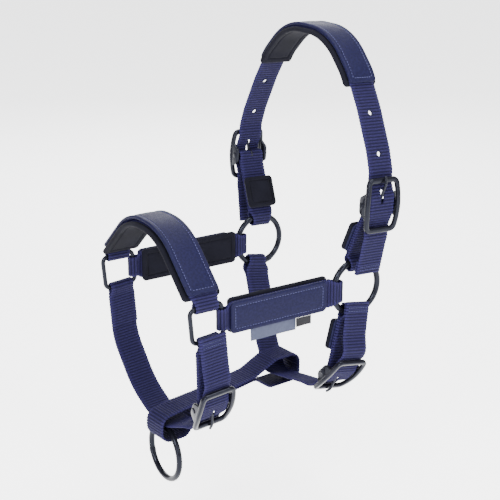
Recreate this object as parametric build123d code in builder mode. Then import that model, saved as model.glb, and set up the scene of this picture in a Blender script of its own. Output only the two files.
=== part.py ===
from build123d import *
import os
from math import cos, radians, sin

# Head halter (foal headcollar) of flat webbing, in millimetres.
# +Z is up, +X is the animal's left, -Y is towards the nose.
# The origin is the poll: the inner face of the crown padding, at its highest point.

# --- webbing and padding ---
WEB_WIDTH = 26.0            # nominal 25 mm webbing, with its knurled edges
WEB = 2.0                   # thickness of one ply of webbing
COVER = 2.5                 # satin fabric cover
LINING = 3.5                # neoprene lining
COVER_WIDTH = 28.0
LINING_WIDTH = 34.0
PAD_WIDTH = 31.0
HOLE_RADIUS = 2.2           # punched adjusting hole

# --- rings ---
RING_WIRE = 2.7             # wire radius of the round rings
UPPER_RING_RADIUS = 24.0    # ring radius at the middle of the wire
LEAD_RING_RADIUS = 25.3
SQUARE_WIRE = 2.0           # wire radius of the square rings
SQUARE_SIDE = 30.0          # between wire centres
SQUARE_CORNER = 5.0
RING_X = 77.0               # half the distance between the left and right rings
RING_PLAY = 0.5             # free room between a wire and the webbing folded round it
SMALL_REACH = 0.6           # straight part of a tight fold
RING_TAPER = 4.0            # length over which a fold closes to the doubled strap
TIP_HALF = 9.0              # half width of a fold's tip, where its corners are cut

# --- where the planes of the straps lie ---
CROWN_CREST = 216.5         # outer face of the crown strap above the upper ring axis
POLL_RISE = CROWN_CREST - WEB - LINING
CROWN_LEAN = 3.0            # degrees that each strap's plane leans from upright
THROAT_LEAN = 10.0
CHIN_LEAN = 5.0
SQUARE_REACH = 152.0        # square ring centres in front of the upper ring axis
SQUARE_DROP = 1.0
NOSE_REACH = 153.0

# --- centre-bar buckle, in its own frame: t along the strap, n outward, w across ---
BAR_RADIUS = 1.75
BAR_HALF = 17.5
BAR_HEAD = 2.6
BAR_HEAD_THICK = 0.6
FRAME_HALF = 24.0
FRAME_END = 16.2            # half width at the frame's ends
FRAME_MIDDLE = 18.4         # half width at the bulge of its sides
WINDOW_HALF = 19.2
WINDOW_END = 12.8
WINDOW_MIDDLE = 14.3
FRAME_THICK = 4.0
BOW_END = 4.1               # height of the frame's middle surface above the bar
BOW_MIDDLE = 6.8
LUG_INNER = 14.4
LUG_OUTER = 17.4
LUG_RADIUS = 3.3
TONGUE_WIRE = 1.2
TONGUE_CURL = 3.05
BAR_LOOP = 1.95             # bore of the webbing loop on the bar
LUG_FOOT = 12.0             # half the length of a lug where it meets the frame
LUG_FLAT = 5.0              # half the length of its straight lower edge
LUG_HEIGHT = 6.0            # middle of its foot, inside the frame
FRAME_CORNER = 6.0
WINDOW_CORNER = 2.5
CURL_SLOT = 12.0            # slot in the loop on the bar, for the tongue's curl
SLOT_START = 1.4            # slot in the strap, for the tongue
SLOT_END = 14.4
SLOT_HALF = TONGUE_WIRE + 0.5
tongue_arm = ((0, TONGUE_CURL), (5, TONGUE_CURL + 0.2), (18.8, 8.8), (26.0, 7.7))
STRAP_LOW = 1.6             # outer face of the strap below the frame's ends
STRAP_HIGH = 6.6            # outer face of the strap over the bar

crown_centre = (-99.0, 80.5)      # right-hand crown buckle, in the crown's plane
throat_centre = (72.9, -79.5)
chin_centre = (71.3, -77.3)
CROWN_TILT = 90.0                 # direction of the incoming strap, degrees
THROAT_TILT = 229.0
CHIN_TILT = 240.0

ring_y = -POLL_RISE * sin(radians(CROWN_LEAN))
ring_z = -POLL_RISE * cos(radians(CROWN_LEAN))


def leaning_plane(y, z, lean):
    """Upright plane across the head whose top leans back by an angle."""
    tilt = radians(lean)
    return Plane(origin=(0, y, z), x_dir=(1, 0, 0), z_dir=(0, -cos(tilt), sin(tilt)))


crown_plane = leaning_plane(ring_y, ring_z, CROWN_LEAN)
throat_plane = leaning_plane(ring_y, ring_z, THROAT_LEAN)
nose_plane = leaning_plane(ring_y - NOSE_REACH, ring_z - SQUARE_DROP, 0)
chin_plane = leaning_plane(ring_y - SQUARE_REACH, ring_z - SQUARE_DROP, -CHIN_LEAN)
cheek_plane = Plane(origin=(0, ring_y, ring_z - SQUARE_DROP / 2))


def turned(plane, centre, angle):
    """The same plane with its origin at a point on it and its x axis turned."""
    turn = radians(angle)
    along = plane.x_dir * cos(turn) + plane.y_dir * sin(turn)
    return Plane(origin=plane.from_local_coords(centre), x_dir=along, z_dir=plane.z_dir)


def facing(plane):
    """The plane through the same x axis that looks along the strap's thickness."""
    return Plane(origin=plane.origin, x_dir=plane.x_dir, z_dir=-plane.y_dir)


crown_buckle = turned(crown_plane, crown_centre, CROWN_TILT)
throat_buckle = turned(throat_plane, throat_centre, THROAT_TILT)
chin_buckle = turned(chin_plane, chin_centre, CHIN_TILT)


def threaded(centre, angle):
    """Outer face of a strap through a buckle, from the tail to the incoming side."""
    turn = radians(angle)
    section = ((-30, STRAP_LOW), (-18.5, STRAP_LOW), (-7, STRAP_HIGH))
    section += ((7, STRAP_HIGH), (18.5, STRAP_LOW), (29, STRAP_LOW))
    points = []
    for t, n in section:
        x = centre[0] + t * cos(turn) - n * sin(turn)
        y = centre[1] + t * sin(turn) + n * cos(turn)
        points.append((x, y))
    return points


def keep(piece, name):
    """Label a finished piece and write its file."""
    piece.part.label = name
    export_step(piece.part, f"parts/{name}.step")


def keep_pair(piece, name):
    """Write a piece made on the right, and its mirror image on the left."""
    keep(piece, f"right_{name}")
    with BuildPart() as twin:
        mirror(piece.part, about=Plane.YZ)
    keep(twin, f"left_{name}")


# --- strap-making helpers ---

def shifted(route, distance):
    """The same route, moved sideways: positive is outward."""
    if distance == 0:
        return route
    side = Side.LEFT if distance > 0 else Side.RIGHT
    return route.offset_2d(abs(distance), kind=Kind.INTERSECTION, side=side, closed=False)


def add_layer(plane, route, inner, outer, width):
    """Add a strip between two distances from a route, centred on the plane."""
    with BuildSketch(plane) as section:
        with BuildLine():
            add(shifted(route, inner))
            offset(amount=outer - inner, side=Side.LEFT, kind=Kind.INTERSECTION)
        make_face()
    extrude(section.sketch, amount=width / 2, both=True)


def add_fold(local, bore, reach, taper=6.0):
    """Webbing folded round a wire; the local x axis points back along the strap."""
    with BuildSketch(local) as section:
        with Locations((0, 0), (reach, 0)):
            Circle(bore + WEB)
        with Locations((reach + taper, 0)):
            Circle(WEB)
        make_hull()
    extrude(section.sketch, amount=WEB_WIDTH / 2, both=True)


def cut_fold(local, bore, reach):
    """Open the fold for its wire and round off the corners of its tip."""
    with BuildSketch(local) as opening:
        with Locations((0, 0), (reach, 0)):
            Circle(bore)
        make_hull()
    extrude(opening.sketch, amount=WEB_WIDTH, both=True, mode=Mode.SUBTRACT)
    tip = bore + WEB
    edge = WEB_WIDTH / 2
    for side in (1, -1):
        with BuildSketch(facing(local)) as corner:
            with BuildLine():
                Polyline((-tip - 1, TIP_HALF * side), (-tip, TIP_HALF * side), (1, edge * side),
                         (1, (edge + 1) * side), (-tip - 1, (edge + 1) * side), close=True)
            make_face()
        extrude(corner.sketch, amount=2 * tip, both=True, mode=Mode.SUBTRACT)


def cut_bar_loop(local):
    """Open the loop for a buckle's bar, and slot it for the tongue's curl."""
    with BuildSketch(local) as bore:
        Circle(BAR_LOOP)
    extrude(bore.sketch, amount=WEB_WIDTH, both=True, mode=Mode.SUBTRACT)
    with BuildSketch(local) as slot:
        Rectangle(CURL_SLOT, CURL_SLOT)
    extrude(slot.sketch, amount=SLOT_HALF, both=True, mode=Mode.SUBTRACT)


def cut_tongue_slot(local):
    """The slot that the tongue comes through, where the strap drops off the bar."""
    with BuildSketch(local) as slot:
        with Locations(((SLOT_START + SLOT_END) / 2, STRAP_HIGH / 2)):
            Rectangle(SLOT_END - SLOT_START, STRAP_HIGH + 2)
    extrude(slot.sketch, amount=SLOT_HALF, both=True, mode=Mode.SUBTRACT)


def cut_hole(plane, route, fraction):
    """Punch a round adjusting hole at a fraction of a route."""
    spot = route.position_at(fraction)
    along = route.tangent_at(fraction)
    across = plane.x_dir * -along.Y + plane.y_dir * along.X
    with Locations(Plane(origin=plane.from_local_coords(spot), z_dir=across)):
        Cylinder(HOLE_RADIUS, 4 * WEB, mode=Mode.SUBTRACT)


os.makedirs("parts", exist_ok=True)

# --- crown: the strap over the poll, its padding, and the short straps at its buckles ---

half_crown = [(-93.5, 17.5), (-99.0, 45.0)] + threaded(crown_centre, CROWN_TILT)
half_crown += [(-95.0, 126.0), (-78.5, 159.0), (-61.0, 187.0), (-31.0, CROWN_CREST)]
crown_points = half_crown + [(-x, y) for x, y in reversed(half_crown)]
crown_radii = [30, 15, 7, 7, 7, 7, 15, 40, 60, 50, 60]
crown_route = FilletPolyline(*crown_points, radius=crown_radii + crown_radii[::-1])
CROWN_PAD = (0.338, 0.662)        # span of the padding, as fractions of the strap
CROWN_LINING = (0.336, 0.664)
CROWN_HOLES = (0.216, 0.286)      # adjusting holes, counted from each end
left_crown_buckle = Plane(
    origin=(-crown_buckle.origin.X, crown_buckle.origin.Y, crown_buckle.origin.Z),
    x_dir=crown_buckle.x_dir,
    z_dir=-crown_buckle.z_dir,
)

with BuildPart() as crown_strap:
    add_layer(crown_plane, crown_route, -WEB, 0, WEB_WIDTH)
    cut_tongue_slot(crown_buckle)
    cut_tongue_slot(left_crown_buckle)
    for fraction in CROWN_HOLES:
        cut_hole(crown_plane, crown_route, fraction)
        cut_hole(crown_plane, crown_route, 1 - fraction)
keep(crown_strap, "crown_strap")

crown_top = crown_route.trim(*CROWN_PAD)
crown_inside = crown_route.trim(*CROWN_LINING)
with BuildPart() as crown_cover:
    add_layer(crown_plane, crown_top, 0, COVER, COVER_WIDTH)
keep(crown_cover, "crown_pad_cover")
with BuildPart() as crown_lining:
    add_layer(crown_plane, crown_inside, -WEB - LINING, -WEB, LINING_WIDTH)
keep(crown_lining, "crown_pad_lining")

RING_BORE = RING_WIRE + RING_PLAY
FOLD_CENTRE = 19.8                # middle of a fold's tip, from the ring's centre
FOLD_REACH = UPPER_RING_RADIUS - FOLD_CENTRE + 0.8
crown_short_end = (-RING_X, FOLD_CENTRE)
crown_short = FilletPolyline(
    crown_short_end, (-RING_X, 30.0), crown_centre, radius=[14.0]
)
CROWN_SHORT_PAD = (0.19, 0.64)
SHORT_PAD = 3.5                   # neoprene behind a short strap
CROWN_LOOP = -68.0                # direction of the short strap at the bar

with BuildPart() as billet:
    add_layer(crown_plane, crown_short, -WEB, WEB, WEB_WIDTH)
    add_fold(turned(crown_plane, crown_short_end, 90), RING_BORE, FOLD_REACH)
    add_fold(turned(crown_plane, crown_centre, CROWN_LOOP), BAR_LOOP, SMALL_REACH)
    cut_fold(turned(crown_plane, crown_short_end, 90), RING_BORE, FOLD_REACH)
    cut_bar_loop(turned(crown_plane, crown_centre, CROWN_LOOP))
keep_pair(billet, "crown_billet")

crown_short_span = crown_short.trim(*CROWN_SHORT_PAD)
with BuildPart() as billet_cover:
    add_layer(crown_plane, crown_short_span, -WEB - COVER, -WEB, COVER_WIDTH)
keep_pair(billet_cover, "crown_billet_cover")
with BuildPart() as billet_pad:
    add_layer(crown_plane, crown_short_span, -WEB - COVER - SHORT_PAD, -WEB - COVER, PAD_WIDTH)
keep_pair(billet_pad, "crown_billet_pad")

# --- centre-bar buckles: bowed frame with lugs, bar and tongue ---


def add_barrel(half, end, middle):
    """Outline with straight ends and sides that bulge at the middle."""
    ThreePointArc((-half, -end), (0, -middle), (half, -end))
    Line((half, -end), (half, end))
    ThreePointArc((half, end), (0, middle), (-half, end))
    Line((-half, end), (-half, -end))


def add_frame(local):
    """Bowed frame with bulged sides, and a lug under each side for the bar."""
    top = facing(local)
    with BuildSketch(top) as plan:
        with BuildLine():
            add_barrel(FRAME_HALF, FRAME_END, FRAME_MIDDLE)
        outline = make_face()
        fillet(outline.vertices(), FRAME_CORNER)
        with BuildSketch(mode=Mode.SUBTRACT):
            with BuildLine():
                add_barrel(WINDOW_HALF, WINDOW_END, WINDOW_MIDDLE)
            window = make_face()
            fillet(window.vertices(), WINDOW_CORNER)
    extrude(plan.sketch, amount=20, both=True)
    half = FRAME_HALF + 2
    bow = (BOW_MIDDLE - BOW_END) * (half / FRAME_HALF) ** 2
    under = BOW_MIDDLE - bow - FRAME_THICK / 2
    over = BOW_MIDDLE - bow + FRAME_THICK / 2
    with BuildSketch(local) as profile:
        with BuildLine():
            ThreePointArc((-half, under), (0, under + bow), (half, under))
            Line((half, under), (half, over))
            ThreePointArc((half, over), (0, over + bow), (-half, over))
            Line((-half, over), (-half, under))
        make_face()
    extrude(profile.sketch, amount=30, both=True, mode=Mode.INTERSECT)


def add_lugs(local):
    """Two lugs that reach from the frame's sides down to the bar."""
    for side in (1, -1):
        with BuildSketch(local.offset(side * (LUG_INNER + LUG_OUTER) / 2)) as lug:
            with Locations((-LUG_FLAT, 0), (LUG_FLAT, 0)):
                Circle(LUG_RADIUS)
            with Locations((-LUG_FOOT, LUG_HEIGHT), (LUG_FOOT, LUG_HEIGHT)):
                Circle(1)
            make_hull()
        extrude(lug.sketch, amount=(LUG_OUTER - LUG_INNER) / 2, both=True)
    with BuildSketch(local) as bore:
        Circle(BAR_RADIUS + 0.02)
    extrude(bore.sketch, amount=LUG_OUTER + 1, both=True, mode=Mode.SUBTRACT)


def add_bar(local):
    """Centre bar with a small head at each end."""
    with BuildSketch(local) as section:
        Circle(BAR_RADIUS)
    extrude(section.sketch, amount=BAR_HALF, both=True)
    for side in (1, -1):
        with BuildSketch(local.offset(side * (BAR_HALF + BAR_HEAD_THICK / 2))) as head:
            Circle(BAR_HEAD)
        extrude(head.sketch, amount=BAR_HEAD_THICK / 2, both=True)


def add_tongue(local):
    """Wire tongue: a closed curl on the bar and an arm that rests on the frame's end."""
    curl = Plane(origin=local.origin, x_dir=local.y_dir, z_dir=local.x_dir)
    with BuildSketch(curl) as ring:
        with Locations((TONGUE_CURL, 0)):
            Circle(TONGUE_WIRE)
    revolve(ring.sketch, axis=Axis(local.origin, local.z_dir))
    with BuildLine(local) as arm:
        FilletPolyline(*tongue_arm, radius=6)
    path = arm.wire()
    with BuildSketch(Plane(origin=path.position_at(0), z_dir=path.tangent_at(0))) as wire:
        Circle(TONGUE_WIRE)
    sweep(wire.sketch, path=path)


for name, local in (("crown", crown_buckle), ("throat", throat_buckle), ("chin", chin_buckle)):
    with BuildPart() as frame:
        add_frame(local)
        add_lugs(local)
    with BuildPart() as bar:
        add_bar(local)
    with BuildPart() as tongue:
        add_tongue(local)
    save = keep_pair if name == "crown" else keep
    save(frame, f"{name}_buckle_frame")
    save(bar, f"{name}_buckle_bar")
    save(tongue, f"{name}_buckle_tongue")

# --- rings ---

right_ring_plane = Plane(origin=(-RING_X, ring_y, ring_z), x_dir=(0, 1, 0), z_dir=(0, 0, 1))
with BuildPart() as upper_ring:
    with BuildSketch(right_ring_plane):
        with Locations((UPPER_RING_RADIUS, 0)):
            Circle(RING_WIRE)
    revolve(axis=Axis(right_ring_plane.origin, (1, 0, 0)))
keep_pair(upper_ring, "upper_ring")


def add_square_ring(centre, top):
    """Wire bent to a square with round corners, in the upright plane through centre."""
    flat = Plane(origin=centre, x_dir=top.cross(Vector(1, 0, 0)), z_dir=(1, 0, 0))
    half = SQUARE_SIDE / 2
    with BuildLine(flat) as loop:
        FilletPolyline((half, -half), (half, half), (-half, half), (-half, -half),
                       radius=SQUARE_CORNER, close=True)
    path = loop.wire()
    with BuildSketch(Plane(origin=path.position_at(0), z_dir=path.tangent_at(0))) as wire:
        Circle(SQUARE_WIRE)
    sweep(wire.sketch, path=path)


square_centre = chin_plane.from_local_coords((-RING_X, 0, 0))
with BuildPart() as square_ring:
    add_square_ring(square_centre, chin_plane.y_dir)
keep_pair(square_ring, "square_ring")

LEAD_TOP = -128.6                 # middle of the lead ring's wire at its top, from the ring axis
LEAD_X = -3.0
LEAD_Y = -145.0                   # middle of the chin strap's underside
RING_SLIP = -4.2                  # the ring hangs at the front of its loop
lead_ring_z = ring_z + LEAD_TOP - LEAD_RING_RADIUS
lead_y = ring_y + LEAD_Y + RING_SLIP
lead_plane = Plane(origin=(LEAD_X, lead_y, lead_ring_z), x_dir=(1, 0, 0), z_dir=(0, 0, 1))
with BuildPart() as lead_ring:
    with BuildSketch(lead_plane):
        with Locations((LEAD_RING_RADIUS, 0)):
            Circle(RING_WIRE)
    revolve(axis=Axis(lead_plane.origin, (0, 1, 0)))
keep(lead_ring, "lead_ring")

# --- cheek pieces, made on the right: webbing doubled round both rings, cover and lining ---

SQUARE_BORE = SQUARE_WIRE + RING_PLAY
SQUARE_TILT = 0.9                 # extra length of a fold, because the square ring leans
cheek_front = (-RING_X, -SQUARE_REACH + SQUARE_SIDE / 2 - SQUARE_TILT)
cheek_rear = (-RING_X, -FOLD_CENTRE)
CHEEK_COVER = (-131.0, -34.0)     # front and rear ends, from the ring axis
CHEEK_LINING = (-130.0, -29.5)
CHEEK_WIDTH = 28.0


def add_slab(front, rear, inner, outer, width):
    """Straight cheek layer, between two distances outward from the line of the rings."""
    with BuildSketch(cheek_plane) as section:
        with Locations((-RING_X - (inner + outer) / 2, (front + rear) / 2)):
            Rectangle(outer - inner, rear - front)
    extrude(section.sketch, amount=width / 2, both=True)


with BuildPart() as cheek:
    add_slab(cheek_front[1], cheek_rear[1], -WEB, WEB, WEB_WIDTH)
    add_fold(turned(cheek_plane, cheek_front, 90), SQUARE_BORE, 2 * SQUARE_TILT, RING_TAPER)
    add_fold(turned(cheek_plane, cheek_rear, -90), RING_BORE, FOLD_REACH, RING_TAPER)
    cut_fold(turned(cheek_plane, cheek_front, 90), SQUARE_BORE, 2 * SQUARE_TILT)
    cut_fold(turned(cheek_plane, cheek_rear, -90), RING_BORE, FOLD_REACH)
keep_pair(cheek, "cheek_strap")
with BuildPart() as cheek_cover:
    add_slab(*CHEEK_COVER, WEB, WEB + COVER, CHEEK_WIDTH)
keep_pair(cheek_cover, "cheek_cover")
with BuildPart() as cheek_lining:
    add_slab(*CHEEK_LINING, -WEB - LINING, -WEB, PAD_WIDTH)
keep_pair(cheek_lining, "cheek_lining")

# --- noseband: doubled webbing round the tops of both square rings, cover and lining ---

NOSE_WEB = 3.0                    # two plies pressed together
nose_wire = (-RING_X, SQUARE_SIDE / 2)
half_nose = [(-RING_X - WEB, SQUARE_SIDE / 2), (-RING_X - WEB, 20.5), (-27.0, 68.5)]
nose_points = half_nose + [(-x, y) for x, y in reversed(half_nose)]
nose_route = FilletPolyline(*nose_points, radius=[10, 60, 60, 10])
NOSE_COVER = (0.055, 0.945)
NOSE_LINING = (0.048, 0.952)
nose_top = nose_route.trim(*NOSE_COVER)
nose_inside = nose_route.trim(*NOSE_LINING)

with BuildPart() as noseband:
    add_layer(nose_plane, nose_route, -NOSE_WEB, 0, WEB_WIDTH)
    for hand in (-1, 1):
        tip = turned(nose_plane, (hand * RING_X, SQUARE_SIDE / 2 - SQUARE_TILT), 90)
        add_fold(tip, SQUARE_BORE, 2 * SQUARE_TILT, RING_TAPER)
        cut_fold(tip, SQUARE_BORE, 2 * SQUARE_TILT)
keep(noseband, "noseband_strap")
with BuildPart() as nose_cover:
    add_layer(nose_plane, nose_top, 0, COVER, COVER_WIDTH + 2)
keep(nose_cover, "noseband_cover")
with BuildPart() as nose_lining:
    add_layer(nose_plane, nose_inside, -NOSE_WEB - LINING, -NOSE_WEB, LINING_WIDTH + 2)
keep(nose_lining, "noseband_lining")

# --- chin strap: from the left chin buckle, under the chin, to the right square ring ---

chin_points = [(86.0, -10.5), (86.0, -38.0)] + threaded(chin_centre, CHIN_TILT)
chin_points += [(42.0, -108.5), (6.0, -124.0), (-22.0, -124.0), (-53.5, -107.5), (-81.0, -68.0)]
chin_points += [(-RING_X - 2.4, -SQUARE_SIDE / 2)]
chin_radii = [30, 12, 7, 7, 7, 7, 20, 40, 40, 60, 60, 40]
chin_route = FilletPolyline(*chin_points, radius=chin_radii)
chin_ring_end = (-RING_X, -SQUARE_SIDE / 2)
chin_short_start = (RING_X, -SQUARE_SIDE / 2)
chin_short = FilletPolyline(chin_short_start, (RING_X, -28.0), chin_centre, radius=[20.0])
CHIN_HOLES = (0.33, 0.39, 0.45)
CHIN_RETURN = -94.0               # direction of the strap at the right ring
CHIN_TAPER = 9.0
CHIN_LOOP = 83.0                  # direction of the short strap at the bar

with BuildPart() as chin:
    add_layer(chin_plane, chin_route, -WEB, 0, WEB_WIDTH)
    add_fold(turned(chin_plane, chin_ring_end, CHIN_RETURN), SQUARE_BORE, SMALL_REACH, CHIN_TAPER)
    cut_fold(turned(chin_plane, chin_ring_end, CHIN_RETURN), SQUARE_BORE, SMALL_REACH)
    cut_tongue_slot(chin_buckle)
    for fraction in CHIN_HOLES:
        cut_hole(chin_plane, chin_route, fraction)
keep(chin, "chin_strap")

with BuildPart() as chin_billet:
    add_layer(chin_plane, chin_short, -WEB, WEB, WEB_WIDTH)
    add_fold(turned(chin_plane, chin_short_start, -90), SQUARE_BORE, SMALL_REACH)
    add_fold(turned(chin_plane, chin_centre, CHIN_LOOP), BAR_LOOP, SMALL_REACH)
    cut_fold(turned(chin_plane, chin_short_start, -90), SQUARE_BORE, SMALL_REACH)
    cut_bar_loop(turned(chin_plane, chin_centre, CHIN_LOOP))
keep(chin_billet, "chin_billet")

# --- throat strap: from the left throat buckle, under the jaw, to the right upper ring ---

throat_points = [(85.5, -13.5), (88.0, -42.0)] + threaded(throat_centre, THROAT_TILT)
throat_points += [(40.0, -103.5), (14.0, -108.0), (-19.0, -114.0), (-40.0, -90.0), (-62.0, -52.0)]
throat_points += [(-RING_X - 2.4, -FOLD_CENTRE - 4)]
throat_radii = [30, 12, 7, 7, 7, 7, 20, 25, 40, 14, 60, 60]
throat_route = FilletPolyline(*throat_points, radius=throat_radii)
throat_end = (-RING_X, -FOLD_CENTRE)
throat_short_start = (RING_X, -FOLD_CENTRE)
throat_short = FilletPolyline(throat_short_start, (RING_X, -32.0), throat_centre, radius=[20.0])
THROAT_SHORT_PAD = (0.19, 0.68)
THROAT_TAPER = 12.0
THROAT_LOOP = 85.0

with BuildPart() as throat:
    add_layer(throat_plane, throat_route, -WEB, 0, WEB_WIDTH)
    add_fold(turned(throat_plane, throat_end, -90), RING_BORE, FOLD_REACH, THROAT_TAPER)
    cut_fold(turned(throat_plane, throat_end, -90), RING_BORE, FOLD_REACH)
    cut_tongue_slot(throat_buckle)
keep(throat, "throat_strap")

with BuildPart() as throat_billet:
    add_layer(throat_plane, throat_short, -WEB, WEB, WEB_WIDTH)
    add_fold(turned(throat_plane, throat_short_start, -90), RING_BORE, FOLD_REACH)
    add_fold(turned(throat_plane, throat_centre, THROAT_LOOP), BAR_LOOP, SMALL_REACH)
    cut_fold(turned(throat_plane, throat_short_start, -90), RING_BORE, FOLD_REACH)
    cut_bar_loop(turned(throat_plane, throat_centre, THROAT_LOOP))
keep(throat_billet, "throat_billet")
throat_span = throat_short.trim(*THROAT_SHORT_PAD)
with BuildPart() as throat_cover:
    add_layer(throat_plane, throat_span, -WEB - COVER, -WEB, COVER_WIDTH)
keep(throat_cover, "throat_billet_cover")
with BuildPart() as throat_pad:
    add_layer(throat_plane, throat_span, -WEB - COVER - SHORT_PAD, -WEB - COVER, PAD_WIDTH)
keep(throat_pad, "throat_billet_pad")

# --- connecting strap: joins the chin strap to the throat strap, folded round each ---

JAW_TURN = 5.0                    # degrees that it runs off the middle plane, towards the right
turn = radians(JAW_TURN)
jaw_plane = Plane(
    origin=(LEAD_X, ring_y + LEAD_Y, ring_z),
    x_dir=(-sin(turn), cos(turn), 0),
    z_dir=(cos(turn), sin(turn), 0),
)
jaw_points = [(-16, -114), (-16, -139.2), (11, -139.2), (36, -113.4), (90, -106.4), (107, -119)]
jaw_points += [(143.5, -119), (143.5, -91), (114, -91), (90, -101.8), (36, -108.8), (10, -110.5)]
jaw_radii = [11, 11, 8, 12, 9, 10, 10, 10, 10, 12, 20, 20]
sewn_points = [(40, -112.7), (85, -106.8), (85, -102.5), (40, -108.5)]

with BuildPart() as jaw:
    with BuildSketch(jaw_plane):
        with BuildLine():
            FilletPolyline(*jaw_points, radius=jaw_radii, close=True)
        make_face()
        offset(amount=-WEB, mode=Mode.SUBTRACT, kind=Kind.INTERSECTION)
        with BuildLine():
            Polyline(*sewn_points, close=True)
        make_face()
    extrude(amount=WEB_WIDTH / 2, both=True)
keep(jaw, "connecting_strap")

# --- sewn-in labels below the left cheek piece, both plain ---

LABEL_THICK = 0.8
LABEL_X = RING_X + WEB
LABEL_TOP = -14.7                 # lower edge of the cheek cover
labels = (
    ("woven_label", LABEL_X, -110.5, -65.0, -25.5),
    ("size_label", LABEL_X + 2 * LABEL_THICK, -65.5, -50.0, -22.5),
)
for name, shelf, front, rear, low in labels:
    middle = (front + rear) / 2
    with BuildPart() as label:
        with BuildSketch(Plane.YZ.offset(shelf)):
            with Locations((ring_y + middle, ring_z + (low + LABEL_TOP) / 2)):
                Rectangle(rear - front, LABEL_TOP - low)
        extrude(amount=LABEL_THICK / 2, both=True)
    keep(label, name)
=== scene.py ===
import random
from math import atan2, cos, exp, pi, radians, sin, sqrt, tan

import bmesh
import bpy
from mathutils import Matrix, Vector


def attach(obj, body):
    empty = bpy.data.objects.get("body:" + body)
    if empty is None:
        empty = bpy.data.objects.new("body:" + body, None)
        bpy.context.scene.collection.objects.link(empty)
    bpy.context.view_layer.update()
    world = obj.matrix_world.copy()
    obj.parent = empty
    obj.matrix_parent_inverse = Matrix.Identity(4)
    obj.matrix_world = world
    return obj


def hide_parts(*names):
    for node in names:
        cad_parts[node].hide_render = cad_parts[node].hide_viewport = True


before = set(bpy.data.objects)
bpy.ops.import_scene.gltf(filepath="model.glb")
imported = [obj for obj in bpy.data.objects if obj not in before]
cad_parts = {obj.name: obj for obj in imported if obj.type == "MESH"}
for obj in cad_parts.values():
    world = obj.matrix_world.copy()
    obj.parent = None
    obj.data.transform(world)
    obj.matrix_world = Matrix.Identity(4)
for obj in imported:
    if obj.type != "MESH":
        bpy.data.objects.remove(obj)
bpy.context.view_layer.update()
chance = random.Random(11)

# All sizes below are in millimetres, in the CAD's frame, and Flat.at() turns them into metres.
WEB = 2.0
WEB_HALF = 13.0
HOLE_RADIUS = 2.2
CROWN_HOLES = (0.216, 0.286, 0.784, 0.714)   # as shares of the strap's length
CHIN_HOLES = (0.33, 0.39, 0.45)
RIB_PITCH = 2.7
RING_X = 77.0
POLL_RISE = 211.0
LEAN = radians(3)
RING_Y = -POLL_RISE * sin(LEAN)
RING_Z = -POLL_RISE * cos(LEAN)


class Flat:
    """A plane: x and y run in it and z stands off it."""

    def __init__(self, origin, x, y):
        self.origin = Vector(origin)
        self.x = Vector(x).normalized()
        self.y = Vector(y).normalized()
        self.z = self.x.cross(self.y)

    def at(self, x, y, z=0.0):
        return (self.origin + self.x * x + self.y * y + self.z * z) * 0.001

    def turned(self, centre, angle):
        a = radians(angle)
        x = self.x * cos(a) + self.y * sin(a)
        y = self.y * cos(a) - self.x * sin(a)
        return Flat(self.origin + self.x * centre[0] + self.y * centre[1], x, y)


def leaning(y, z, lean):
    a = radians(lean)
    return Flat((0, y, z), (1, 0, 0), (0, sin(a), cos(a)))


CROWN = leaning(RING_Y, RING_Z, 3)
THROAT = leaning(RING_Y, RING_Z, 10)
NOSE = leaning(RING_Y - 153, RING_Z - 1, 0)
CHIN = leaning(RING_Y - 152, RING_Z - 1, -5)
CHEEK = Flat((0, RING_Y, RING_Z - 0.5), (1, 0, 0), (0, 1, 0))


# --- paths ---


def rounded(points, radii, closed=False):
    """Points along a polyline with its corners rounded off."""
    pts = [Vector(p) for p in points]
    n = len(pts)
    corners = range(n) if closed else range(1, n - 1)
    out = [] if closed else [pts[0]]
    for k, i in enumerate(corners):
        a, b, c = pts[i - 1], pts[i], pts[(i + 1) % n]
        u, v = (a - b).normalized(), (c - b).normalized()
        half = u.angle(v) / 2
        centre = b + (u + v).normalized() * (radii[k] / sin(half))
        start = b + u * (radii[k] / tan(half)) - centre
        sweep = pi - 2 * half
        if u.x * v.y - u.y * v.x > 0:
            sweep = -sweep
        first = atan2(start.y, start.x)
        count = max(4, int(radii[k] * abs(sweep) / 0.8))
        for j in range(count + 1):
            a = first + sweep * j / count
            out.append(centre + Vector((cos(a), sin(a))) * radii[k])
    if not closed:
        out.append(pts[-1])
    return out


def evenly(points, step, closed=False, multiple=1):
    """The same path with its points an equal distance apart, and its length."""
    pts = [Vector(p) for p in points] + ([Vector(points[0])] if closed else [])
    marks = [0.0]
    for a, b in zip(pts, pts[1:]):
        marks.append(marks[-1] + (b - a).length)
    total = marks[-1]
    count = max(multiple, multiple * round(total / step / multiple))
    out, j = [], 0
    for i in range(count if closed else count + 1):
        s = total * i / count
        while j < len(pts) - 2 and marks[j + 1] < s:
            j += 1
        span = marks[j + 1] - marks[j]
        out.append(pts[j].lerp(pts[j + 1], (s - marks[j]) / span if span > 1e-9 else 0.0))
    return out, total


def sides(points, closed=False):
    """The direction to the left of the path at each of its points."""
    n, out = len(points), []
    for i in range(n):
        a = points[i - 1] if closed or i > 0 else points[i]
        b = points[(i + 1) % n] if closed or i < n - 1 else points[i]
        d = (b - a).normalized()
        out.append(Vector((-d.y, d.x)))
    return out


def moved(points, distance):
    pts, _ = evenly(points, 0.5)
    return [p + n * distance for p, n in zip(pts, sides(pts))]


def part_of(points, first, last):
    """A stretch of a path, between two fractions of its length."""
    pts, _ = evenly(points, 0.25)
    n = len(pts) - 1
    return pts[round(first * n): round(last * n) + 1]


def eased(x):
    x = min(1.0, max(0.0, x))
    return x * x * (3 - 2 * x)


def bulge(distance, end):
    """Half the opening of a doubled strap, at a distance from the middle of its end's loop."""
    radius, reach, taper = end[:3]
    return radius + (1.0 - radius) * eased((distance - reach) / taper)


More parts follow.
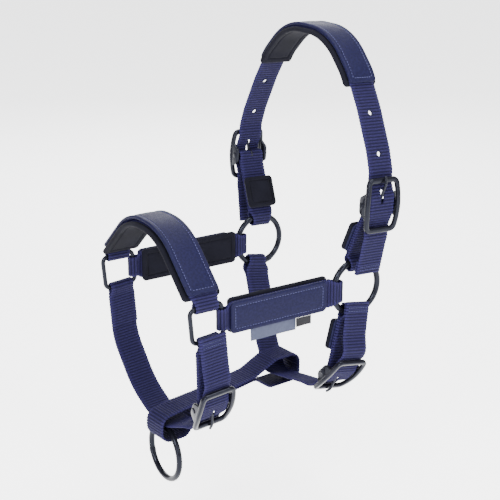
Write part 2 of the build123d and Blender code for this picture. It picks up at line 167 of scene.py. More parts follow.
def two_sides(line, ends):
    pts, total = evenly(line, 0.4)
    normals = sides(pts)
    left, right = [], []
    for i, (p, n) in enumerate(zip(pts, normals)):
        s = total * i / (len(pts) - 1)
        h = max(bulge(s, ends[0]), bulge(total - s, ends[1]), 1.02)
        left.append(p + n * h)
        right.append(p - n * h)
    return pts, normals, left, right


def tip(p, n, radius):
    """Half turn from the left side of a line's end to its right side."""
    d = Vector((n.y, -n.x))
    angles = [pi * j / 14 for j in range(1, 14)]
    return [p + (n * cos(a) + d * sin(a)) * radius for a in angles]


def doubled(line, ends):
    """Middle of a strap that runs round both ends of a line and closes on itself."""
    pts, normals, left, right = two_sides(line, ends)
    far = tip(pts[-1], normals[-1], ends[1][0])
    near = tip(pts[0], -normals[0], ends[0][0])
    return left + far + right[::-1] + near


def returned(line, ends):
    """Middle of a single strap whose ends are folded back; an end's last number is how far."""
    pts, normals, left, right = two_sides(line, ends)
    near = tip(pts[0], -normals[0], ends[0][0])
    far = tip(pts[-1], normals[-1], ends[1][0])
    step = sum((b - a).length for a, b in zip(pts, pts[1:])) / (len(pts) - 1)
    first, last = round(ends[0][3] / step), round(ends[1][3] / step)
    return right[first:0:-1] + near + left + far + right[: -last - 1: -1]


HEM = (1.05, 0.0, 1.0, 12.0)


# --- meshes ---


def new_object(name, verts, faces, material, uvs=None, smooth=True):
    mesh = bpy.data.meshes.new(name)
    mesh.from_pydata([tuple(v) for v in verts], [], faces)
    if uvs:
        layer = mesh.uv_layers.new(name="UVMap")
        flat = [x for uv in uvs for x in uv]
        layer.data.foreach_set("uv", flat)
    bm = bmesh.new()
    bm.from_mesh(mesh)
    bmesh.ops.recalc_face_normals(bm, faces=bm.faces)
    bm.to_mesh(mesh)
    bm.free()
    mesh.polygons.foreach_set("use_smooth", [smooth] * len(mesh.polygons))
    mesh.materials.append(material)
    obj = bpy.data.objects.new(name, mesh)
    bpy.context.scene.collection.objects.link(obj)
    return obj


def loft(name, rings, material, closed=False, marks=None, across=None):
    """Mesh through rings of points. marks and across are the texture's millimetres."""
    n, m = len(rings), len(rings[0])
    marks = marks or list(range(n + 1))
    across = across or list(range(m + 1))
    verts = [v for ring in rings for v in ring]
    faces, uvs = [], []
    for i in range(n if closed else n - 1):
        k = (i + 1) % n
        for j in range(m):
            q = (j + 1) % m
            faces.append((i * m + j, i * m + q, k * m + q, k * m + j))
            u0, u1, v0, v1 = marks[i], marks[i + 1], across[j], across[j + 1]
            uvs += [(u0, v0), (u0, v1), (u1, v1), (u1, v0)]
    if not closed:
        for i in (0, n - 1):
            faces.append(tuple(i * m + j for j in range(m)))
            uvs += [(marks[i], across[j]) for j in range(m)]
    return new_object(name, verts, faces, material, uvs)


def finish_piece(obj, body, nodes=()):
    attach(obj, body)
    if nodes:
        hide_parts(*nodes)
    return obj


rib_sizes = [1 + chance.uniform(-0.16, 0.16) for _ in range(400)]
COLUMNS = (-1.0, -0.955, -0.88, -0.72, -0.48, -0.24, 0, 0.24, 0.48, 0.72, 0.88, 0.955, 1.0)


def web_ring(flat, p, n, s, half, ply, pitch):
    """Section of ribbed webbing at one point of its path."""
    rib = abs(sin(pi * s / pitch)) ** 0.8
    size = rib_sizes[int(s / pitch) % len(rib_sizes)]
    low = (1 - rib) * 0.62 * size
    edge = half - 0.55 * (1 - rib)
    top, bottom = [], []
    for c in COLUMNS[1:-1]:
        h = ply / 2 - low - (0.28 if abs(c) > 0.9 else 0.0) - (0.1 if abs(c) < 0.1 else 0.0)
        top.append((h, c * edge))
        bottom.append((-h, c * edge))
    loop = [(0, -edge)] + top + [(0, edge)] + bottom[::-1]
    return [flat.at(*(p + n * h), w) for h, w in loop]


def strap(name, flat, path, body, nodes, closed=False, ply=WEB, tips=(), half=WEB_HALF, narrow=3.4):
    """Ribbed webbing along a path, narrowed where it turns round a ring."""
    pts, total = evenly(path, RIB_PITCH / 6, closed, 6 if closed else 1)
    normals = sides(pts, closed)
    pitch = total / round(total / RIB_PITCH)
    count = len(pts) if closed else len(pts) - 1
    marks = [total * i / count for i in range(len(pts) + 1)]
    ribs = [s * RIB_PITCH / pitch for s in marks]
    spots = [Vector(t) for t in tips]
    rings = []
    for p, n, s in zip(pts, normals, marks):
        near = min([(p - t).length for t in spots], default=99.0)
        h = half - narrow * (1 - eased((near - 3.5) / 7.0))
        rings.append(web_ring(flat, p, n, s, h, ply, pitch))
    m = len(rings[0])
    across = [12.5 * c for c in COLUMNS]
    across += [25 - c for c in reversed(across[1:-1])]
    across = [a + 12.5 for a in across[:m]] + [50.0]
    obj = loft(name, rings, webbing, closed, ribs, across)
    return finish_piece(obj, body, nodes)


GAPS = (0.0, 0.12, 0.35, 0.7, 1.2, 1.8, 2.4, 2.9, 3.3, 3.7, 4.1, 4.6, 5.2, 6.0, 6.6, 7.4, 9.0, 11.5)


def cushion(name, flat, path, low, high, width, body, nodes, material, slot, **look):
    """Strip of padding with rounded edges, between two distances from a path."""
    edge = look.get("edge", min(1.6, (high - low) / 2))
    pts, total = evenly(path, 0.5)
    normals = sides(pts)
    length = len(pts) - 1
    middle = [total * i / length for i in range(2, length - 1, 2)]
    middle = [s for s in middle if 8 < s < total - 8]
    ends = list(GAPS[:16])
    marks = ends + middle + [total - g for g in reversed(ends)]
    cols = [g for g in GAPS if g < width / 2 - 1]
    mid = (low + high) / 2
    rings = []
    for s in marks:
        f = min(length - 1e-6, max(0.0, s / total * length))
        i = int(f)
        p = pts[i].lerp(pts[i + 1], f - i)
        n = normals[i].lerp(normals[i + 1], f - i).normalized()
        end = min(s, total - s)
        corner = 4.0 * (1 - sqrt(1 - (1 - min(1.0, end / 4.0)) ** 2))
        half = width / 2 - corner
        ws = [-(half - g) for g in cols] + [0.0] + [half - g for g in reversed(cols)]
        top, bottom = [], []
        for w in ws:
            gap = max(0.0, min(half - abs(w), end))
            k = sqrt(max(0.0, 1 - (1 - min(1.0, gap / edge)) ** 2))
            up, down = relief(gap, look, s, w)
            top.append((mid + (high - mid) * k + up * k, w))
            bottom.append((mid - (mid - low) * k - down * k, w))
        loop = top + bottom[-2:0:-1]
        rings.append([flat.at(*(p + n * h), w) for h, w in loop])
    wide = cols + [width / 2] + [width - g for g in reversed(cols)]
    across = wide + [2 * width - w for w in reversed(wide[1:-1])] + [2 * width]
    obj = loft(name, rings, material, False, marks + [total], across)
    return finish_piece(obj, body, nodes)


def relief(gap, look, s, w):
    """How far a cushion's two faces stand out at a point: the sewn groove, its rim and fullness."""
    seam = look.get("seam", 4.0)
    groove = exp(-(((gap - seam) / 0.55) ** 2))
    rim = sin(pi * min(1.0, gap / seam))
    full = eased((gap - seam) / 6.0)
    ripple = 0.5 + 0.5 * sin(s * 1.85 + 0.3 * w)
    up = look.get("puff", 0) * full + look.get("rim", 0) * rim
    up -= look.get("groove", 0.3) * groove * (0.6 + 0.4 * ripple)
    down = look.get("puff_in", 0) * full + look.get("rim_in", 0) * rim
    down -= look.get("groove_in", 0) * groove * (0.6 + 0.4 * ripple)
    return up, down


def threads(name, places, material, body, width=0.24, height=0.2):
    """Short sewing threads, each a small rounded capsule lying on a surface."""
    verts, faces = [], []
    for centre, along, up, length in places:
        side = along.cross(up).normalized()
        base = len(verts)
        rings = ((-0.5, 0.25), (-0.42, 0.8), (-0.2, 1.0), (0.2, 1.0), (0.42, 0.8), (0.5, 0.25))
        for t, k in rings:
            sag = -0.3 * (2 * abs(t)) ** 3
            for j in range(6):
                a = 2 * pi * j / 6
                off = side * (cos(a) * width * k) + up * ((sin(a) * k + sag) * height)
                verts.append(centre + (along * (t * length) + off) * 0.001)
        for i in range(len(rings) - 1):
            for j in range(6):
                q = (j + 1) % 6
                a = base + i * 6
                faces.append((a + j, a + q, a + 6 + q, a + 6 + j))
        faces.append(tuple(base + j for j in range(6)))
        faces.append(tuple(base + 6 * (len(rings) - 1) + j for j in range(6)))
    obj = new_object(name, verts, faces, material)
    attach(obj, body)
    return obj


def seam_places(flat, path, height, half, inset, pitch=2.7, length=1.7, ends=True,
                first=None, last=None):
    """Where the threads of a box seam go: along both edges and across both ends."""
    pts, total = evenly(path, 0.25)
    normals = sides(pts)
    sign = 1 if height >= 0 else -1
    first = inset if first is None else first
    last = total - inset if last is None else last
    out = []
    count = max(1, round((last - first) / pitch))
    for k in range(count):
        s = first + (last - first) * (k + 0.5) / count
        i = min(len(pts) - 2, max(1, round(s / total * (len(pts) - 1))))
        d = (pts[i + 1] - pts[i - 1]).normalized()
        n = normals[i]
        along, up = flat.x * d.x + flat.y * d.y, (flat.x * n.x + flat.y * n.y) * sign
        for w in (-(half - inset), half - inset):
            jitter = chance.uniform(-0.08, 0.08)
            q = pts[i] + n * height
            out.append((flat.at(q.x, q.y, w + jitter), along, up, length))
    if ends:
        for s in (first, last):
            out += row_places(flat, path, s, height, half - inset - 1, pitch, length)
    return out


def row_places(flat, path, s, height, reach, pitch=2.7, length=1.7):
    """Where the threads of a row across a strap go."""
    pts, total = evenly(path, 0.25)
    i = min(len(pts) - 2, max(1, round(s / total * (len(pts) - 1))))
    d = (pts[i + 1] - pts[i - 1]).normalized()
    n = Vector((-d.y, d.x))
    q = pts[i] + n * height
    up = (flat.x * n.x + flat.y * n.y) * (1 if height >= 0 else -1)
    count = max(1, round(2 * reach / pitch))
    rows = []
    for k in range(count):
        w = -reach + 2 * reach * (k + 0.5) / count
        rows.append((flat.at(q.x, q.y, w), flat.z, up, length))
    return rows


def sweep(name, points, up, section, material, closed=False):
    """Metal bar along points in metres. section(i) gives (side, up) pairs in millimetres."""
    n, rings = len(points), []
    for i, p in enumerate(points):
        a = points[i - 1] if closed or i > 0 else p
        b = points[(i + 1) % n] if closed or i < n - 1 else p
        t = (b - a).normalized()
        side = t.cross(up).normalized()
        v = side.cross(t)
        rings.append([p + (side * x + v * y) * 0.001 for x, y in section(i)])
    return loft(name, rings, material, closed)


def circle(radius, count=20):
    turns = [2 * pi * j / count for j in range(count)]
    return [(radius * cos(a), radius * sin(a)) for a in turns]


def squarish(a, b, power=4.0, count=28):
    """Section of a bar with flat sides and rounded edges."""
    out = []
    for j in range(count):
        t = 2 * pi * (j + 0.5) / count
        x, y = cos(t), sin(t)
        k = (abs(x) ** power + abs(y) ** power) ** (-1 / power)
        out.append((a * x * k, b * y * k))
    return out


def joined(name, parts):
    """One object from several, which no longer exist afterwards."""
    bm = bmesh.new()
    for o in parts:
        bm.from_mesh(o.data)
    mesh = bpy.data.meshes.new(name)
    bm.to_mesh(mesh)
    bm.free()
    mesh.polygons.foreach_set("use_smooth", [True] * len(mesh.polygons))
    for m in parts[0].data.materials:
        mesh.materials.append(m)
    for o in parts:
        bpy.data.objects.remove(o)
    obj = bpy.data.objects.new(name, mesh)
    bpy.context.scene.collection.objects.link(obj)
    return obj


def pierced(obj, cutters):
    """Cut holes through an object and remove the cutters."""
    cutter = joined("cutter", cutters)
    cut = obj.modifiers.new("holes", "BOOLEAN")
    cut.operation = "DIFFERENCE"
    cut.solver = "EXACT"
    cut.object = cutter
    graph = bpy.context.evaluated_depsgraph_get()
    mesh = bpy.data.meshes.new_from_object(obj.evaluated_get(graph))
    obj.modifiers.clear()
    obj.data = mesh
    bpy.data.objects.remove(cutter)


# --- materials ---


def node(tree, kind, **values):
    made = tree.nodes.new(kind)
    for key, value in values.items():
        if key in made.inputs:
            made.inputs[key].default_value = value
        else:
            setattr(made, key, value)
    return made


def plain(name, colour, roughness, **values):
    mat = bpy.data.materials.new(name)
    mat.use_nodes = True
    bsdf = mat.node_tree.nodes["Principled BSDF"]
    bsdf.inputs["Base Color"].default_value = (*colour, 1)
    bsdf.inputs["Roughness"].default_value = roughness
    for key, value in values.items():
        bsdf.inputs[key.replace("_", " ")].default_value = value
    return mat, mat.node_tree, bsdf


def varied(tree, bsdf, colour, other, scale, share=0.5, detail=3.0):
    """Mix two colours by soft noise, and return the mix node."""
    place = node(tree, "ShaderNodeTexCoord")
    noise = node(tree, "ShaderNodeTexNoise", Scale=scale, Detail=detail, Roughness=0.55)
    tree.links.new(place.outputs["Object"], noise.inputs["Vector"])
    ramp = node(tree, "ShaderNodeMapRange")
    ramp.inputs["From Min"].default_value = 0.35
    ramp.inputs["From Max"].default_value = 0.65
    ramp.inputs["To Max"].default_value = share
    tree.links.new(noise.outputs["Fac"], ramp.inputs["Value"])
    mix = node(tree, "ShaderNodeMix", data_type="RGBA")
    mix.inputs["A"].default_value = (*colour, 1)
    mix.inputs["B"].default_value = (*other, 1)
    tree.links.new(ramp.outputs["Result"], mix.inputs["Factor"])
    tree.links.new(mix.outputs["Result"], bsdf.inputs["Base Color"])
    return mix, noise, place


def bumped(tree, bsdf, source, strength, distance):
    bump = node(tree, "ShaderNodeBump", Strength=strength, Distance=distance)
    tree.links.new(source, bump.inputs["Height"])
    tree.links.new(bump.outputs["Normal"], bsdf.inputs["Normal"])
    return bump


def wave(tree, source, pitch):
    """1 on the threads and 0 between them, from millimetres along one direction."""
    scaled = node(tree, "ShaderNodeMath", operation="MULTIPLY")
    scaled.inputs[1].default_value = pi / pitch
    tree.links.new(source, scaled.inputs[0])
    wavy = node(tree, "ShaderNodeMath", operation="SINE")
    tree.links.new(scaled.outputs[0], wavy.inputs[0])
    flat = node(tree, "ShaderNodeMath", operation="ABSOLUTE")
    tree.links.new(wavy.outputs[0], flat.inputs[0])
    return flat.outputs[0]


def multiplied(tree, source, factor, extra=0.0):
    made = node(tree, "ShaderNodeMath", operation="MULTIPLY_ADD")
    made.inputs[1].default_value = factor
    made.inputs[2].default_value = extra
    tree.links.new(source, made.inputs[0])
    return made.outputs[0]


def speckle(tree, place, scale, low, high):
    """Thread-sized light and dark specks, between two values."""
    noise = node(tree, "ShaderNodeTexNoise", Scale=scale, Detail=2.0, Roughness=0.6)
    tree.links.new(place.outputs["UV"], noise.inputs["Vector"])
    spread = node(tree, "ShaderNodeMapRange")
    spread.inputs["From Min"].default_value = 0.38
    spread.inputs["From Max"].default_value = 0.62
    spread.inputs["To Min"].default_value = low
    spread.inputs["To Max"].default_value = high
    tree.links.new(noise.outputs["Fac"], spread.inputs["Value"])
    return spread.outputs["Result"]


def times(tree, first, second):
    made = node(tree, "ShaderNodeMath", operation="MULTIPLY")
    tree.links.new(first, made.inputs[0])
    tree.links.new(second, made.inputs[1])
    return made.outputs[0]


def make_webbing(name, groove, crest):
    """Coarse ribs with painted shade in their grooves, with fine specks of thread along them."""
    mat, tree, bsdf = plain(name, crest, 0.7, Specular_IOR_Level=0.08, Sheen_Weight=0.015,
                            Sheen_Roughness=0.4)
    bsdf.inputs["Sheen Tint"].default_value = (0.45, 0.45, 0.95, 1)
    place = node(tree, "ShaderNodeTexCoord")
    split = node(tree, "ShaderNodeSeparateXYZ")
    tree.links.new(place.outputs["UV"], split.inputs[0])
    rib = wave(tree, split.outputs["X"], RIB_PITCH)
    specks = speckle(tree, place, 1.3, 0.35, 1.1)
    edge = node(tree, "ShaderNodeMapRange")
    edge.inputs["From Min"].default_value = 0.55
    edge.inputs["From Max"].default_value = 0.0
    edge.inputs["To Min"].default_value = 0.0
    edge.inputs["To Max"].default_value = 0.5
    tree.links.new(wave(tree, split.outputs["Y"], 25.0), edge.inputs["Value"])
    knurl = times(tree, edge.outputs["Result"], wave(tree, split.outputs["X"], RIB_PITCH / 2))
    # Painted shade: the colour falls towards the dark groove colour in the troughs of the ribs.
    crest_share = times(tree, multiplied(tree, rib, 0.85, 0.1), specks)
    total = node(tree, "ShaderNodeMath", operation="ADD")
    total.use_clamp = True
    tree.links.new(crest_share, total.inputs[0])
    tree.links.new(knurl, total.inputs[1])
    mix = node(tree, "ShaderNodeMix", data_type="RGBA")
    mix.inputs["A"].default_value = (*groove, 1)
    mix.inputs["B"].default_value = (*crest, 1)
    tree.links.new(total.outputs[0], mix.inputs["Factor"])
    tree.links.new(mix.outputs["Result"], bsdf.inputs["Base Color"])
    warp = wave(tree, split.outputs["Y"], 1.15)
    bumped(tree, bsdf, times(tree, warp, specks), 0.6, 0.0003)
    return mat


def make_satin(name, dark, light):
    """Finely woven satin cloth with a soft sheen."""
    mat, tree, bsdf = plain(name, light, 0.55, Specular_IOR_Level=0.07, Sheen_Weight=0.02,
                            Sheen_Roughness=0.35)
    bsdf.inputs["Sheen Tint"].default_value = (0.55, 0.62, 0.9, 1)
    place = node(tree, "ShaderNodeTexCoord")
    split = node(tree, "ShaderNodeSeparateXYZ")
    tree.links.new(place.outputs["UV"], split.inputs[0])
    weft = wave(tree, split.outputs["X"], 0.55)
    warp = wave(tree, split.outputs["Y"], 0.45)
    specks = speckle(tree, place, 0.5, 0.2, 0.9)
    mix = node(tree, "ShaderNodeMix", data_type="RGBA")
    mix.inputs["A"].default_value = (*dark, 1)
    mix.inputs["B"].default_value = (*light, 1)
    tree.links.new(specks, mix.inputs["Factor"])
    tree.links.new(mix.outputs["Result"], bsdf.inputs["Base Color"])
    bumped(tree, bsdf, times(tree, weft, warp), 0.35, 0.00015)
    return mat


def make_neoprene(name, colour, light):
    mat, tree, bsdf = plain(name, colour, 0.86, Specular_IOR_Level=0.08, Sheen_Weight=0.01)
    _, _, place = varied(tree, bsdf, colour, light, 45.0, 0.6)
    knit = node(tree, "ShaderNodeTexNoise", Scale=1100.0, Detail=2.0)
    tree.links.new(place.outputs["Object"], knit.inputs["Vector"])
    bumped(tree, bsdf, knit.outputs["Fac"], 0.35, 0.0002)
    return mat


def make_metal(name):
    mat, tree, bsdf = plain(name, (0.004, 0.004, 0.006), 0.2, Specular_IOR_Level=0.14)
    bsdf.inputs["Specular Tint"].default_value = (0.72, 0.78, 1.0, 1)
    mix, noise, _ = varied(tree, bsdf, (0.003, 0.003, 0.005), (0.006, 0.006, 0.009), 90.0, 0.7)
    worn = node(tree, "ShaderNodeNewGeometry")
    edge = node(tree, "ShaderNodeMapRange")
    edge.inputs["From Min"].default_value = 0.52
    edge.inputs["From Max"].default_value = 0.6
    edge.inputs["To Max"].default_value = 0.5
    tree.links.new(worn.outputs["Pointiness"], edge.inputs["Value"])
    bright = node(tree, "ShaderNodeMix", data_type="RGBA")
    bright.inputs["B"].default_value = (0.012, 0.0125, 0.018, 1)
    tree.links.new(mix.outputs["Result"], bright.inputs["A"])
    tree.links.new(edge.outputs["Result"], bright.inputs["Factor"])
    tree.links.new(bright.outputs["Result"], bsdf.inputs["Base Color"])
    rough = node(tree, "ShaderNodeMapRange")
    rough.inputs["To Min"].default_value = 0.1
    rough.inputs["To Max"].default_value = 0.22
    tree.links.new(noise.outputs["Fac"], rough.inputs["Value"])
    tree.links.new(rough.outputs["Result"], bsdf.inputs["Roughness"])
    return mat


def make_label(name, colour, light):
    mat, tree, bsdf = plain(name, colour, 0.7, Specular_IOR_Level=0.2, Sheen_Weight=0.02)
    _, _, place = varied(tree, bsdf, colour, light, 300.0, 0.5)
    lines = node(tree, "ShaderNodeTexWave", Scale=420.0, bands_direction="Y")
    tree.links.new(place.outputs["Object"], lines.inputs["Vector"])
    bumped(tree, bsdf, lines.outputs["Fac"], 0.3, 0.0001)
    return mat


# The first colour is painted shade for the rib grooves; the second is the webbing's own navy on the
# crests.
webbing = make_webbing("webbing", (0.0008, 0.0006, 0.0035), (0.0142, 0.0118, 0.052))
cover_satin = make_satin("cover_satin", (0.0030, 0.0028, 0.0135), (0.0062, 0.0060, 0.027))
neoprene = make_neoprene("neoprene", (0.0020, 0.0020, 0.0045), (0.0040, 0.0040, 0.0085))
metal = make_metal("black_nickel")
thread_light = make_neoprene("thread_light", (0.05, 0.052, 0.12), (0.08, 0.085, 0.18))
thread_navy = make_neoprene("thread_navy", (0.006, 0.006, 0.02), (0.01, 0.01, 0.03))
thread_dark = make_neoprene("thread_dark", (0.0008, 0.0008, 0.0015), (0.002, 0.002, 0.003))
label_grey = make_label("label_grey", (0.032, 0.037, 0.065), (0.046, 0.053, 0.09))
label_black = make_label("label_black", (0.004, 0.004, 0.006), (0.009, 0.009, 0.012))


# --- hardware ---


def weld(i, count, radius, grow=0.14):
    """Wire section with a slight swelling where its two ends are welded."""
    near = min(i, count - i) / count
    return circle(radius * (1 + grow * exp(-((near / 0.012) ** 2))))


def round_ring(name, flat, radius, wire, weld_at, body):
    count = 120
    points = []
    for i in range(count):
        a = radians(weld_at) + 2 * pi * i / count
        points.append(flat.at(radius * cos(a), radius * sin(a)))
    obj = sweep(name, points, flat.z, lambda i: weld(i, count, wire), metal, True)
    return finish_piece(obj, body, [name.replace("_wire", "")])


def square_ring(name, flat, body):
    corner = [(15, -15), (15, 15), (-15, 15), (-15, -15)]
    pts, _ = evenly(rounded(corner, [5] * 4, True), 0.9, True)
    count = len(pts)
    points = [flat.at(p.x, p.y) for p in pts]
    obj = sweep(name, points, flat.z, lambda i: weld(i, count, 2.0), metal, True)
    return finish_piece(obj, body, [name.replace("_wire", "")])


def bow(t):
    return 6.8 - 2.7 * (t / 24) ** 2


def barrel_outline():
    """Middle line of a buckle's frame, with straight ends and bulged sides, as (t, w)."""
    rows = [(-21.6, 14.3), (-12, 15.6), (0, 16.3), (12, 15.6), (21.6, 14.3)]
    outline = rows + [(t, -w) for t, w in reversed(rows)]
    radii = [4.4, 60, 60, 60, 4.4, 4.4, 60, 60, 60, 4.4]
    pts, _ = evenly(rounded(outline, radii, True), 1.0, True)
    return pts


def frame_section(p):
    """The frame is deeper in plan at its ends than along its sides."""
    share = eased((abs(p.x) - 17.5) / 4)
    return squarish(2.1 + 0.35 * share, 2.05, 3.0)


def buckle(name, flat, body, tongue_body, nodes):
    """Frame, lugs, bar and tongue. In flat, x runs along the strap, y out and z across."""
    outline = barrel_outline()
    points = [flat.at(p.x, bow(p.x), p.y) for p in outline]
    ring = sweep("ring", points, flat.y, lambda i: frame_section(outline[i]), metal, True)
    parts = [ring] + [lug(flat, side) for side in (-1, 1)]
    whole = joined(name + "_frame_cast", parts)
    finish_piece(whole, body, [nodes + "_buckle_frame"])
    profile = [(-18.1, 0.8), (-18.05, 2.1), (-17.8, 2.6), (-17.55, 2.6), (-17.5, 1.75)]
    profile += [(-15, 1.75), (15, 1.75)] + [(-w, r) for w, r in reversed(profile)]
    rings = [[flat.at(x, y, w) for x, y in circle(r)] for w, r in profile]
    bar = loft(name + "_bar_pin", rings, metal)
    finish_piece(bar, body, [nodes + "_buckle_bar"])
    tongue(name, flat, tongue_body, nodes)


def lug(flat, side):
    """Wedge under one side of the frame that holds the end of the bar."""
    foot = [(12.4, 6.2), (11.8, 4.9), (8.0, -1.2), (7.0, -2.6), (5.2, -3.2), (0, -3.25)]
    outline = foot + [(-t, n) for t, n in reversed(foot[:-1])] + [(0, 7.0)]
    pts, _ = evenly(outline, 1.0, True)
    rings = []
    for w, inset in ((14.45, 0.55), (14.6, 0.2), (15.0, 0), (16.8, 0), (17.2, 0.2), (17.35, 0.55)):
        k = 1 - inset / 5
        rings.append([flat.at(p.x * k, 1.5 + (p.y - 1.5) * k, side * w) for p in pts])
    return loft("lug", rings, metal)


def tongue(name, flat, body, nodes):
    curl = []
    for j in range(34):
        a = radians(90 + 335 * (33 - j) / 33)
        curl.append(Vector((3.05 * cos(a), 3.05 * sin(a))))
    arm = rounded([(0.0, 3.05), (5.0, 3.25), (18.8, 8.8), (26.0, 7.7)], [6, 6])
    pts, _ = evenly(curl + arm[1:], 0.6)
    count = len(pts)
    taper = {0: 0.35, 1: 0.8, count - 1: 0.35, count - 2: 0.8}
    points = [flat.at(p.x, p.y) for p in pts]
    obj = sweep(name + "_tongue_wire", points, flat.z, lambda i: circle(1.2 * taper.get(i, 1.0)),
                metal)
    finish_piece(obj, body, [nodes + "_buckle_tongue"])


for hand, sign in (("left", 1), ("right", -1)):
    ring_plane = Flat((sign * RING_X, RING_Y, RING_Z), (0, 1, 0), (0, 0, 1))
    round_ring(hand + "_upper_ring_wire", ring_plane, 24.0, 2.7, 300, hand + "_upper_ring")
    square_plane = Flat(CHIN.at(sign * RING_X, 0) * 1000, (0, CHIN.y.z, -CHIN.y.y), CHIN.y)
    square_ring(hand + "_square_ring_wire", square_plane, "lower")
lead_plane = Flat((-3, RING_Y - 149.2, RING_Z - 128.6 - 25.3), (1, 0, 0), (0, 0, 1))
round_ring("lead_ring_wire", lead_plane, 25.3, 2.7, 200, "lead_ring")

crown_right = CROWN.turned((-99.0, 80.5), 90)
crown_left = Flat(
    (-crown_right.origin.x, crown_right.origin.y, crown_right.origin.z),
    crown_right.x,
    -crown_right.y,
)
throat_buckle = THROAT.turned((72.9, -79.5), 229)
chin_buckle = CHIN.turned((71.3, -77.3), 240)
buckle("right_crown", crown_right, "crown", "right_crown_tongue", "right_crown")
buckle("left_crown", crown_left, "crown", "left_crown_tongue", "left_crown")
buckle("throat", throat_buckle, "lower", "throat_tongue", "throat")
buckle("chin", chin_buckle, "lower", "chin_tongue", "chin")


# --- straps ---


def threaded(centre, angle):
    """Outer face of a strap through a buckle."""
    a = radians(angle)
    section = ((-30, 1.6), (-18.5, 1.6), (-7, 6.6), (7, 6.6), (18.5, 1.6), (29, 1.6))
    return [
        (centre[0] + t * cos(a) - n * sin(a), centre[1] + t * sin(a) + n * cos(a))
        for t, n in section
    ]


def tongue_cut(flat):
    """Cutter for the slot that a tongue comes through."""
    rings = []
    for t, half in ((1.5, 0.8), (2.1, 1.5), (2.8, 1.65), (12.0, 1.65), (12.8, 1.5), (13.4, 0.8)):
        corners = ((0, -half), (10, -half), (10, half), (0, half))
        rings.append([flat.at(t, n, w) for n, w in corners])
    return loft("cut", rings, thread_dark)


def hole_cut(flat, route, fraction):
    """Cutter for a punched hole, and the sealed rims of the hole."""
    pts, _ = evenly(route, 0.25)
    i = round(fraction * (len(pts) - 1))
    d = (pts[i + 1] - pts[i - 1]).normalized()
    n = Vector((-d.y, d.x))
    rings = []
    for h in (-6, 4):
        q = pts[i] + n * h
        rings.append([flat.at(q.x + d.x * x, q.y + d.y * x, y) for x, y in circle(HOLE_RADIUS, 24)])
    rims = []
    for h in (-0.15, -1.85):
        q = pts[i] + n * h
        ring = [flat.at(q.x + d.x * x, q.y + d.y * x, y) for x, y in circle(2.45, 24)]
        out = flat.x * n.x + flat.y * n.y
        rims.append(sweep("rim", ring, out, lambda i: circle(0.34, 8), thread_navy, True))
    return loft("cut", rings, thread_dark), rims


half_crown = [(-93.5, 17.5), (-99.0, 45.0)] + threaded((-99.0, 80.5), 90)
half_crown += [(-95.0, 126.0), (-78.5, 159.0), (-61.0, 187.0), (-31.0, 216.5)]
crown_radii = [30, 15, 7, 7, 7, 7, 15, 40, 60, 50, 60]
crown_route = rounded(
    half_crown + [(-x, y) for x, y in reversed(half_crown)], crown_radii + crown_radii[::-1]
)
crown = strap("crown_webbing", CROWN, returned(moved(crown_route, -WEB), (HEM, HEM)), "crown",
              ["crown_strap"])
cuts = [tongue_cut(crown_right), tongue_cut(crown_left)]
rims = []
for fraction in CROWN_HOLES:
    cut, edges = hole_cut(CROWN, crown_route, fraction)
    cuts.append(cut)
    rims += edges
pierced(crown, cuts)
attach(joined("crown_hole_rims", rims), "crown")

crown_top = part_of(crown_route, 0.338, 0.662)
crown_inside = part_of(crown_route, 0.336, 0.664)
cushion("crown_cover_skin", CROWN, crown_top, -0.3, 2.5, 28, "crown", ["crown_pad_cover"],
        cover_satin, "cover_satin", seam=4.2, groove=0.35, puff=0.35, rim=0.25)
cushion("crown_lining_pad", CROWN, crown_inside, -5.5, -2.0, 34, "crown",
            ["crown_pad_lining"], neoprene, "neoprene", seam=6.0, groove=0.1, groove_in=0.8,
            rim=0.7, rim_in=0.15, puff_in=0.1, edge=1.75)
crown_seam = seam_places(CROWN, crown_top, 2.45, 14, 4.2)
threads("crown_cover_stitches", crown_seam, thread_light, "crown")
threads("crown_lining_stitches", seam_places(CROWN, crown_inside, -5.15, 17, 6.0), thread_dark,
        "crown")


def short_strap(name, flat, line, ends, span, body, nodes, tips):
    """Doubled strap between a ring and a buckle's bar, with the padding behind it."""
    strap(name + "_webbing", flat, doubled(line, ends), body, [nodes], True, tips=tips)
    if not span:
        return
    stretch = part_of(line, *span)
    cushion(name + "_backing_skin", flat, stretch, -4.5, -2.0, 28, body, [nodes + "_cover"],
            cover_satin, "cover_satin", seam=3.3, groove=0.1, groove_in=0.2)
    pad = cushion(name + "_backing_pad", flat, stretch, -8.0, -4.5, 31, body, [nodes + "_pad"],
                  neoprene, "neoprene", seam=4.1, groove=0.2, groove_in=0.8, rim=0.5,
                  rim_in=0.2, edge=1.75)
    threads(name + "_backing_stitches", seam_places(flat, stretch, -7.7, 15.5, 4.1), thread_dark,
            body)


RING_LOOP = (4.2, 5.0, 6.0)
SQUARE_LOOP = (3.5, 1.8, 5.0)
BAR_LOOP = (2.95, 0.4, 6.0)

crown_short = rounded([(-RING_X, 19.8), (-RING_X, 30.0), (-99.0, 80.5)], [14])
mirror_crown = Flat(CROWN.origin, -CROWN.x, CROWN.y)
for hand, flat in (("right", CROWN), ("left", mirror_crown)):
    name = hand + "_crown_billet"
    short_strap(name, flat, crown_short, (RING_LOOP, BAR_LOOP), (0.19, 0.64), "crown", name,
                ((-RING_X, 19.8),))

